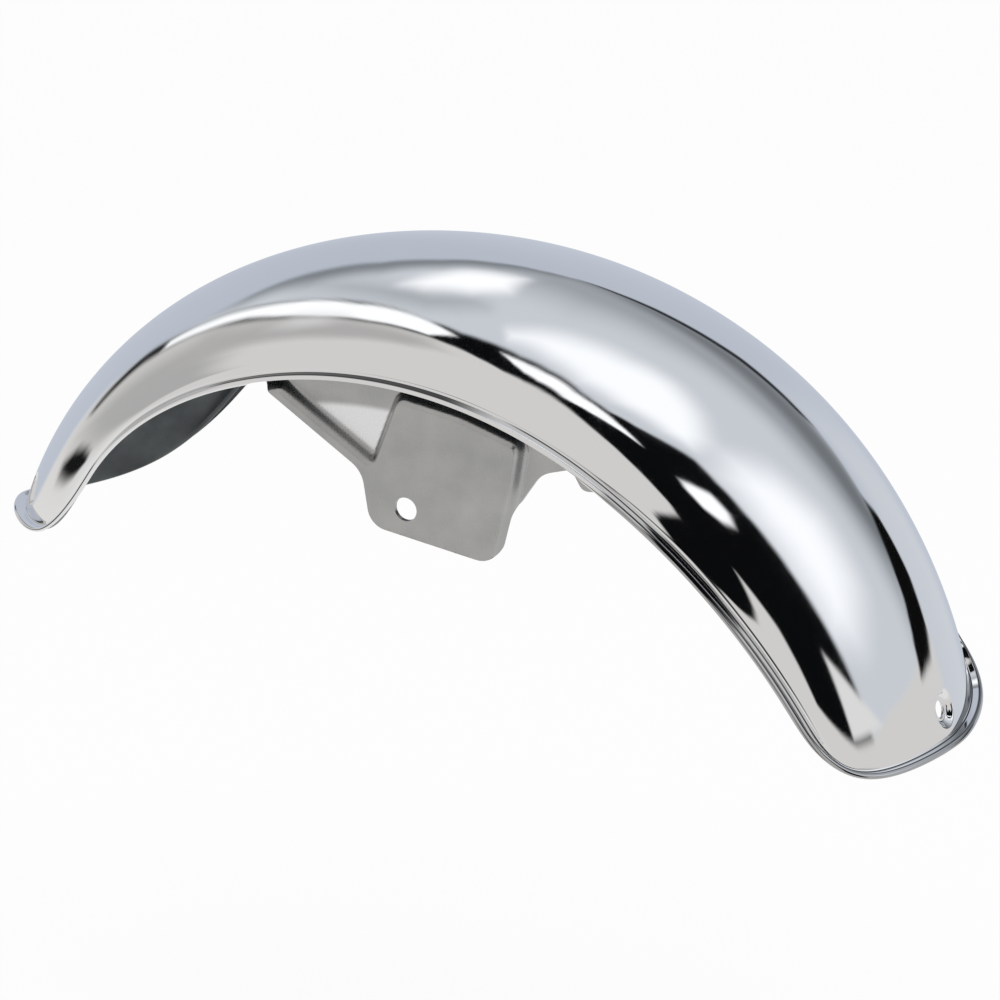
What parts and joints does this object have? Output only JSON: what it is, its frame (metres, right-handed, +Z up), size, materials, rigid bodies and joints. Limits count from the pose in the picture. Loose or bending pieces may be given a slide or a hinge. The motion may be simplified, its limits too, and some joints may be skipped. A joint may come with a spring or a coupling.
{
  "type": "motorcycle front mudguard",
  "caption": "Arched chromed steel front mudguard with a rolled rim, dimpled end holes and a pressed fork bracket whose ears hang below the rims.",
  "frame": {"origin": "centre of the fork bolt hole in the ear at -Y; the wheel axle is 13 mm in front of it, 82 mm towards +Y and 141 mm below", "axes": "+X towards the rear end, +Y along the axle away from the side seen in the picture, +Z up through the crown"},
  "size_m": [0.4405, 0.1672, 0.1737],
  "materials": {
    "shell": "mirror chrome on drawn steel",
    "fork_bracket": "satin pressed steel"
  },
  "bodies": {
    "root": {"shell": "shell", "crown_band": "fork_bracket", "skirt_minus_y": "fork_bracket", "skirt_plus_y": "fork_bracket", "ear_minus_y": "fork_bracket", "ear_plus_y": "fork_bracket"}
  },
  "joints": []
}
